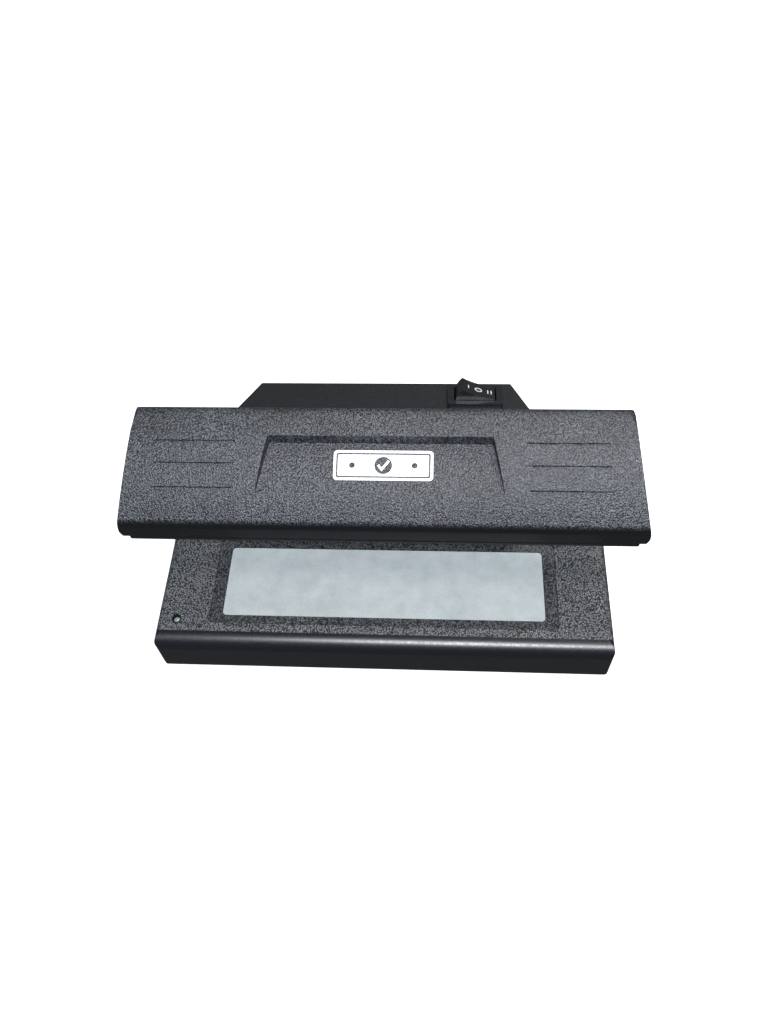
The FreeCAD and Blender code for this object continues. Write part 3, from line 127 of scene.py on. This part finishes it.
# The pit colour is painted shade in the hollows between the pebbles, and the tip colour is a painted
# highlight on their tops.
absLooks = {
    "hood": {
        # the smooth colour is the black of the mould's smooth band, painted darker as shade on the lip under
        # the brow
        "pitShade": "#050609", "ground": "#15181c", "tipHighlight": "#5c6269", "smooth": "#07090c",
        "pebble": 0.5, "depth": 0.22, "gloss": (0.3, 0.46), "sheen": (0.3, 0.36),
        "low": 0.0645, "front": -1.0},
    # the deck: the same black ABS as the hood, its colours painted paler as painted light on the top that
    # catches the lamps
    "litDeck": {
        "pitShade": "#17191b", "ground": "#36393b", "tipHighlight": "#8b8e90", "smooth": "#0a0d12",
        "pebble": 0.5, "depth": 0.22, "gloss": (0.34, 0.5), "sheen": (0.3, 0.38),
        "low": 0.0212, "front": -0.044},
    "housing": {
        "pitShade": "#090b0e", "ground": "#0e1115", "tipHighlight": "#171b20", "smooth": "#0d1013",
        "pebble": 0.4, "depth": 0.03, "gloss": (0.38, 0.48), "sheen": (0.38, 0.48),
        "low": -1.0, "front": -1.0},
}

# what every pebbled surface shares: sizes in millimetres, the ends of the grain in metres
grainLook = {
    "lumps": 1.1, "pits": 0.75, "cell": 1.25, "softness": 0.4, "tipHighlights": (0.12, 0.5), "ground": (0.02, 0.22),
    "cloud": 22, "shine": (0.6, 1.0), "skin": 0.9, "endUp": 0.0012, "endAlong": 0.0003, "left": 0.06,
}


def pebbledAbs(name, look):
    # height = 1.1 of soft lumps - 0.75 of the distance to the nearest pebble; the tips get a painted
    # highlight and the pits painted shade.  A share "left" of the relief stays where the mould is smooth.
    finish, tree, shader, place = newFinish(name, {"IOR": 1.5})
    grain = grainLook
    lumps = noise(tree, place, look["pebble"] * mm, 3.0, 0.6)
    cells = {"feature": "SMOOTH_F1", "Scale": 1 / (look["pebble"] * grain["cell"] * mm),
             "Smoothness": grain["softness"]}
    pebbles = addNode(tree, "TexVoronoi", cells, {"Vector": place}).outputs["Distance"]
    height = maths(tree, "SUBTRACT", maths(tree, "MULTIPLY", lumps, grain["lumps"]),
                   maths(tree, "MULTIPLY", pebbles, grain["pits"]))
    axes = addNode(tree, "SeparateXYZ", {}, {0: place})
    low, front, up, along = look["low"], look["front"], grain["endUp"], grain["endAlong"]
    grained = maths(tree, "MULTIPLY",
                    spread(tree, axes.outputs["Z"], low - up, low + up, smooth=True),
                    spread(tree, axes.outputs["Y"], front - along, front + along, smooth=True))
    cloud = noise(tree, place, grain["cloud"] * mm, 3.0)
    shine = spread(tree, cloud, 0.3, 0.7, *grain["shine"])
    # painted highlight on the pebble tops, its strength wandering under a broad cloud
    tipHighlights = maths(tree, "MULTIPLY", spread(tree, height, *grain["tipHighlights"]), shine)
    # painted shade: the hollows darkened towards the pit colour
    ground = blendColours(tree, spread(tree, height, *grain["ground"]), look["pitShade"], look["ground"])
    skin = noise(tree, place, grain["skin"] * mm, 2.0)
    gloss = spread(tree, skin, 0.35, 0.65, *look["gloss"])
    sheen = spread(tree, skin, 0.35, 0.65, *look["sheen"])
    share = maths(tree, "ADD", maths(tree, "MULTIPLY", grained, 1 - grain["left"]), grain["left"])
    pebbleShadeAndHighlight = blendColours(tree, tipHighlights, ground, look["tipHighlight"])
    wire(tree, shader, {
        # where the mould is smooth: its own black, painted darker as painted shade on the hood's lip and the
        # base's front face
        "Base Color": blendColours(tree, grained, look["smooth"], pebbleShadeAndHighlight),
        "Roughness": addNode(tree, "Mix", {}, {0: grained, 2: sheen, 3: gloss}).outputs[0],
        "Normal": bump(tree, maths(tree, "MULTIPLY", height, share), look["depth"] * mm)})
    return finish


def plain(name, look):
    # a moulded or plated surface: cloudy colour, slightly uneven gloss and a fine skin
    finish, tree, shader, place = newFinish(name, look.get("shader", {}))
    cloud = noise(tree, place, look.get("cloud", 6) * mm, 3.0)
    skin = noise(tree, place, look.get("skin", 0.4) * mm, 2.0)
    wire(tree, shader, {
        "Base Color": blendColours(tree, spread(tree, cloud, 0.3, 0.7), look["dark"], look["light"]),
        "Roughness": spread(tree, skin, 0.3, 0.7, *look["rough"]),
        "Normal": bump(tree, skin, look.get("depth", 0.01) * mm)})
    return finish


plainLooks = {
    # moulded white tub, satin from its mould
    "satinWhiteAbs": {"dark": "#d8d8d2", "light": "#e6e6e1", "rough": (0.35, 0.5)},
    # cast sheet with a milky filler, sawn to size: light sinks in a little; its grey tone is partly painted
    # shade, for the hood's shadow over the window
    "shadedOpalAcrylic": {"dark": "#98a0a0", "light": "#a6adad", "rough": (0.22, 0.32), "depth": 0.004,
                    "shader": {"IOR": 1.49, "Subsurface Weight": 0.3, "Subsurface Scale": 0.002}},
    # moulded rubber, dull and faintly uneven
    "blackRubber": {"dark": "#141414", "light": "#1e1e1e", "rough": (0.75, 0.9), "depth": 0.03},
    # steel screws, zinc plated and passivated: pale and half bright
    "zincPlate": {"dark": "#9d9f9e", "light": "#b9bab8", "rough": (0.28, 0.42), "shader": {"Metallic": 1.0}},
    # stamped or turned pins and tabs, bright plated: a warm grey
    "nickelPlate": {"dark": "#b7b2a4", "light": "#c9c4b6", "rough": (0.2, 0.32), "shader": {"Metallic": 1.0}},
    # rolled and stamped spring strip, yellow and half bright
    "brassStrip": {"dark": "#b08c45", "light": "#c9a55a", "rough": (0.25, 0.4), "shader": {"Metallic": 1.0}},
    # rolled bright sheet, folded: close to a mirror
    "polishedAluminium": {"dark": "#cfd1d3", "light": "#dcdee0", "rough": (0.12, 0.22), "depth": 0.003,
                          "shader": {"Metallic": 1.0}},
    # drawn caps, satin from the tool
    "spunAluminium": {"dark": "#b4b6b8", "light": "#c6c8ca", "rough": (0.3, 0.42),
                      "shader": {"Metallic": 1.0}},
    # injection moulded without pigment: a waxy off-white
    "naturalNylon": {"dark": "#d3cfbf", "light": "#dfdccf", "rough": (0.4, 0.52)},
    # injection moulded in a polished mould: black and smooth
    "blackNylon": {"dark": "#0f1113", "light": "#17191c", "rough": (0.25, 0.36), "depth": 0.006,
                   "shader": {"IOR": 1.53}},
    # glass cloth in epoxy under a green printed mask
    "greenLaminate": {"dark": "#1e4a24", "light": "#2a6432", "rough": (0.32, 0.45)},
    # white mask printed over the strip board
    "whiteSolderMask": {"dark": "#dedfdb", "light": "#ecece8", "rough": (0.35, 0.45)},
    # yellow phosphor cast in clear resin
    "phosphorResin": {"dark": "#dccf7c", "light": "#efe6a4", "rough": (0.2, 0.3)},
    # pressed and sintered powder: dark and dull
    "ferrite": {"dark": "#26262a", "light": "#34343a", "rough": (0.6, 0.75), "depth": 0.02},
    # yellow tape wound round the coil, glossy
    "polyesterTape": {"dark": "#b39a24", "light": "#cdb43a", "rough": (0.25, 0.4)},
    # sleeve shrunk on: dark blue and glossy
    "pvcSleeve": {"dark": "#1a2350", "light": "#26326a", "rough": (0.22, 0.32)},
    # moulded packages: black and matt
    "epoxyMoulding": {"dark": "#161616", "light": "#222222", "rough": (0.5, 0.65)},
    # extruded grey insulation, half matt
    "pvcInsulation": {"dark": "#7c7c78", "light": "#96968f", "rough": (0.4, 0.5)},
}

finishes = {name: plain(name, look) for name, look in plainLooks.items()}
for part, look in absLooks.items():
    finishes["pebbledAbs_" + part] = pebbledAbs("pebbledAbs_" + part, look)


# glass and clear resin: tinted, glossy, with a faint film from handling
clearLooks = {
    # drawn glass, stained deep violet so that little visible light leaves it
    "violetTubeGlass": {"tint": "#2a1a4c", "rough": (0.03, 0.08), "ior": 1.52, "clear": 0.35},
    # lens cast in green tinted epoxy
    "indicatorEpoxy": {"tint": "#a8c8b0", "rough": (0.05, 0.1), "ior": 1.55, "clear": 0.6},
    # drawn clear glass
    "fuseGlass": {"tint": "#d5dcd8", "rough": (0.03, 0.06), "ior": 1.5, "clear": 0.8},
}


def clearGlass(name, look):
    settings = {"IOR": look["ior"], "Transmission Weight": look["clear"], "Base Color": colour(look["tint"])}
    finish, tree, shader, place = newFinish(name, settings)
    film = noise(tree, place, 9 * mm, 3.0)
    wire(tree, shader, {"Roughness": spread(tree, film, 0.3, 0.7, *look["rough"])})
    return finish


for name, look in clearLooks.items():
    finishes[name] = clearGlass(name, look)

finishOf = {
    "pebbledAbs_hood": ["hood_shell"],
    "pebbledAbs_litDeck": ["base_shell"],
    "pebbledAbs_housing": ["rear_housing", "column_front", "bottom_plate", "hood_liner"],
    "satinWhiteAbs": ["light_box"],
    "shadedOpalAcrylic": ["window_diffuser"],
    "blackRubber": ["rubber_feet"],
    "zincPlate": ["bottom_screws", "led_board_screws", "hood_screws", "lampholder_screws", "column_screws",
                  "rear_screws", "board_screws"],
    "nickelPlate": ["tube_pins", "inlet_pins", "switch_terminals", "fuse_clips"],
    "brassStrip": ["lampholder_contacts", "contact_lever"],
    "polishedAluminium": ["reflector"],
    "spunAluminium": ["tube_caps"],
    "naturalNylon": ["plunger", "lampholder_right", "lampholder_left", "rotor_right", "rotor_left"],
    "blackNylon": ["switch_body", "rocker", "indicator_ring", "inlet_body"],
    "greenLaminate": ["ballast_board"],
    "whiteSolderMask": ["led_board"],
    "phosphorResin": ["white_leds"],
    "ferrite": ["transformer_core"],
    "polyesterTape": ["transformer_coil"],
    "pvcSleeve": ["capacitors"],
    "epoxyMoulding": ["power_transistors"],
    "pvcInsulation": ["mains_leads", "led_leads", "lamp_leads"],
    "violetTubeGlass": ["uv_tube"],
    "indicatorEpoxy": ["indicator_led"],
    "fuseGlass": ["fuse"],
}
for finish, members in finishOf.items():
    for member in members:
        for slot in nodes[member].material_slots:
            slot.material = finishes[finish]
bare = sorted(set(nodes) - {member for members in finishOf.values() for member in members})
print("finishes given; nodes without one:", bare)

# prints: flat outlines filled even-odd, a film of ink a few hundredths of a millimetre thick


def roundedLoop(width, height, radius, centre=(0, 0), steps=8):
    # a rectangle's corners, each replaced by a quarter circle
    turns = np.radians(np.arange(4) * 90)[:, None] + np.linspace(0, math.pi / 2, steps + 1)[None, :]
    signs = np.array([(1, 1), (-1, 1), (-1, -1), (1, -1)])
    middles = signs * (np.array([width, height]) / 2 - radius)
    arcs = np.stack([np.cos(turns), np.sin(turns)], 2) * radius
    return (middles[:, None, :] + arcs).reshape(-1, 2) + np.array(centre)


def roundLoop(width, height, centre=(0, 0), steps=64):
    # an ellipse: half the width times the cosine, half the height times the sine
    angles = np.linspace(0, 2 * math.pi, steps, endpoint=False)
    return np.stack([np.cos(angles) * width / 2, np.sin(angles) * height / 2], 1) + np.array(centre)


def strokeLoop(points, width):
    # a bent stroke: each point moved half the width along the mean normal of its two sides
    line = np.array(points, float)
    along = np.diff(line, axis=0)
    normals = np.stack([-along[:, 1], along[:, 0]], 1) / np.linalg.norm(along, axis=1)[:, None]
    joined = np.vstack([normals[:1], normals[:-1] + normals[1:], normals[-1:]])
    joined[1:-1] /= (1 + (normals[:-1] * normals[1:]).sum(1))[:, None]
    return np.vstack([line + joined * width / 2, (line - joined * width / 2)[::-1]])


inkGap = 0.004  # millimetres between the ink and the surface under it, so that the two don't flicker


def inkFilm(name, loops, thickness, onto, finish, body):
    # the loops' filled area in millimetres, carried onto the part by a function of (x, y, lift)
    outline = bpy.data.curves.new(name, "CURVE")
    outline.dimensions, outline.fill_mode = "2D", "BOTH"
    outline.extrude = thickness / 2
    for loop in loops:
        spline = outline.splines.new("POLY")
        spline.points.add(len(loop) - 1)
        points = np.column_stack([loop, np.zeros(len(loop)), np.ones(len(loop))])
        spline.points.foreach_set("co", points.ravel())
        spline.use_cyclic_u = True
    flat = bpy.data.objects.new(name + "Outline", outline)
    mesh = bpy.data.meshes.new_from_object(flat)
    bpy.data.objects.remove(flat)
    places = np.empty(len(mesh.vertices) * 3)
    mesh.vertices.foreach_get("co", places)
    x, y, lift = places.reshape(-1, 3).T
    mesh.vertices.foreach_set("co", (onto(x, y, lift + thickness / 2 + inkGap) * mm).ravel())
    mesh.materials.clear()
    mesh.materials.append(finish)
    mesh.update()
    film = bpy.data.objects.new(name, mesh)
    bpy.context.scene.collection.objects.link(film)
    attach(film, body)


badgeLook = {
    "lowEdge": (-11.9, 72.149), "slope": 22.3, "middle": 11.2, "across": 1.3,
    "width": 37.0, "height": 11.4, "frames": [(0, 1.4), (2.0, 0.8), (3.2, 0.5)],
    "disc": 6.6, "tick": [(-1.9, 0.2), (-0.6, -1.5), (2.1, 1.8)], "tickWidth": 0.9,
    "dot": 2.2, "dotAt": 11.6, "ink": 0.03,
}


def ontoBadge(x, y, lift):
    # up the sunk floor from its lower edge: y is measured along the slope
    slope = math.radians(badgeLook["slope"])
    up = y + badgeLook["middle"]
    lowY, lowZ = badgeLook["lowEdge"]
    return np.stack([x + badgeLook["across"], lowY + up * math.cos(slope) - lift * math.sin(slope),
                     lowZ + up * math.sin(slope) + lift * math.cos(slope)], 1)


rockerLook = {
    "panel": (35.3, 30.05, 78.0), "slope": 18.0, "pivot": 0.5, "tilt": 18.0,
    "dish": 34.0, "end": (6.462, 4.0),
    "bars": [(-3.9, 2.3), (3.9, 2.4), (5.2, 2.4)], "barWidth": 0.42, "barCorner": 0.1,
    "rings": [(3.0, 2.7), (2.0, 1.7)], "ringAt": 0.15, "ink": 0.04,
}


def ontoRocker(x, y, lift):
    # the dish is an arc through the rocker's two ends; then tilt about the pin and lean with the panel
    endX, endZ = rockerLook["end"]
    dish, panel = rockerLook["dish"], rockerLook["panel"]
    z = endZ + math.sqrt(dish ** 2 - endX ** 2) - np.sqrt(dish ** 2 - x ** 2) + lift
    tilt, slope = math.radians(rockerLook["tilt"]), math.radians(rockerLook["slope"])
    across = x * math.cos(tilt) + z * math.sin(tilt)
    rise = z * math.cos(tilt) - x * math.sin(tilt) + rockerLook["pivot"]
    return np.stack([panel[0] + across, panel[1] + y * math.cos(slope) + rise * math.sin(slope),
                     panel[2] - y * math.sin(slope) + rise * math.cos(slope)], 1)


def screenInk(name, low, high):
    # printed through a screen or off a pad, and opaque: matt, with a few thin places
    finish, tree, shader, place = newFinish(name, {"IOR": 1.5})
    thin = noise(tree, place, 0.5 * mm, 3.0)
    wire(tree, shader, {
        "Base Color": blendColours(tree, spread(tree, thin, 0.35, 0.6), low, high),
        "Roughness": spread(tree, thin, 0.3, 0.7, 0.5, 0.65),
        "Normal": bump(tree, thin, 0.01 * mm)})
    return finish


width, height, dotAt = badgeLook["width"], badgeLook["height"], badgeLook["dotAt"]
noteMark = [roundedLoop(width - less, height - less, radius) for less, radius in badgeLook["frames"]]
noteMark += [roundLoop(badgeLook["disc"], badgeLook["disc"])]
noteMark += [strokeLoop(badgeLook["tick"], badgeLook["tickWidth"])]
noteMark += [roundLoop(badgeLook["dot"], badgeLook["dot"], (at, 0)) for at in (-dotAt, dotAt)]
inkFilm("banknotePrint", noteMark, badgeLook["ink"], ontoBadge,
        screenInk("whiteScreenInk", "#d5d8d8", "#f0f2f1"), "root")

barWidth, barCorner = rockerLook["barWidth"], rockerLook["barCorner"]
bars = [roundedLoop(barWidth, tall, barCorner, (at, 0)) for at, tall in rockerLook["bars"]]
rings = [roundLoop(wide, tall, (rockerLook["ringAt"], 0)) for wide, tall in rockerLook["rings"]]
inkFilm("rockerLegends", bars[:1] + rings + bars[1:], rockerLook["ink"], ontoRocker,
        screenInk("greyPadInk", "#9a9da0", "#c4c7c8"), "rocker")
print("prints laid on")

# floor, light and camera

floorLook = {"half": 1.6, "tone": "#f4f4f3", "rough": 0.85}
floorSettings = {"Roughness": floorLook["rough"], "Base Color": colour(floorLook["tone"])}
floorFinish = newFinish("paleFloor", floorSettings)[0]
floorMesh = bpy.data.meshes.new("studioFloor")
half = floorLook["half"]
corners = [(-half, -half, 0), (half, -half, 0), (half, half, 0), (-half, half, 0)]
floorMesh.from_pydata(corners, [], [(0, 1, 2, 3)])
studioFloor = bpy.data.objects.new("studioFloor", floorMesh)
bpy.context.scene.collection.objects.link(studioFloor)
floorMesh.materials.append(floorFinish)
studioFloor.visible_glossy = False

roomLook = {"tone": "#ffffff", "strength": 0.12}
world = bpy.data.worlds.new("studioRoom")
world.use_nodes = True
room = world.node_tree.nodes["Background"]
room.inputs["Color"].default_value = colour(roomLook["tone"])
room.inputs["Strength"].default_value = roomLook["strength"]
bpy.context.scene.world = world


def areaLight(name, look):
    light = bpy.data.lights.new(name, "AREA")
    light.shape = "RECTANGLE"
    light.size, light.size_y = look["size"]
    light.energy = look["watts"]
    light.color = colour(look["tone"])[:3]
    lamp = bpy.data.objects.new(name, light)
    azimuth, elevation = math.radians(look["azimuth"]), math.radians(look["elevation"])
    flat = math.cos(elevation)
    out = Vector((math.sin(azimuth) * flat, -math.cos(azimuth) * flat, math.sin(elevation)))
    target = Vector(look["target"])
    lamp.location = target + out * lightDistance
    lamp.rotation_euler = (-out).to_track_quat("-Z", "Y").to_euler()
    bpy.context.scene.collection.objects.link(lamp)


lightDistance = 1.3
lights = {
    "backPanel": {"size": (0.5, 0.5), "watts": 10, "tone": "#fffdfa", "azimuth": 162, "elevation": 54,
                  "target": (0, 0, 0.05)},
    "facePanel": {"size": (0.5, 0.3), "watts": 30, "tone": "#f4f7ff", "azimuth": 8, "elevation": 55,
                  "target": (0, 0, 0.05)},
    "sidePanel": {"size": (0.3, 0.3), "watts": 5, "tone": "#fff4e6", "azimuth": 75, "elevation": 62,
                  "target": (0.05, 0, 0.05)},
}
for name, look in lights.items():
    areaLight(name, look)

# The camera looks down at the front; angles in radians, lens and frame in millimetres.
cameraLook = {
    "position": (0.02208, -0.19358, 0.33384), "pitch": 0.9804, "yaw": 0.1134, "roll": 0.0805,
    "lens": 30.58383, "frame": 36, "clip": (0.01, 20),
}


def turned(angle, axis):
    return Matrix.Rotation(angle, 3, axis)


# rows: right, down and forward of a level camera that looks along +Y
level = Matrix(((1, 0, 0), (0, 0, -1), (0, 1, 0)))
leaned = turned(-cameraLook["roll"], "Z") @ turned(cameraLook["pitch"], "X")
facing = leaned @ level @ turned(-cameraLook["yaw"], "Z")
camera = bpy.data.objects.new("camera", bpy.data.cameras.new("camera"))
camera.data.lens = cameraLook["lens"]
camera.data.sensor_width = cameraLook["frame"]
camera.data.clip_start, camera.data.clip_end = cameraLook["clip"]
rightAxis, downAxis, forwardAxis = facing[0], facing[1], facing[2]
turn = Matrix((rightAxis, -downAxis, -forwardAxis)).transposed()
camera.matrix_world = Matrix.Translation(cameraLook["position"]) @ turn.to_4x4()
bpy.context.scene.collection.objects.link(camera)
bpy.context.scene.camera = camera
bpy.context.scene.view_settings.view_transform = "Standard"
print("stage, lights and camera placed")
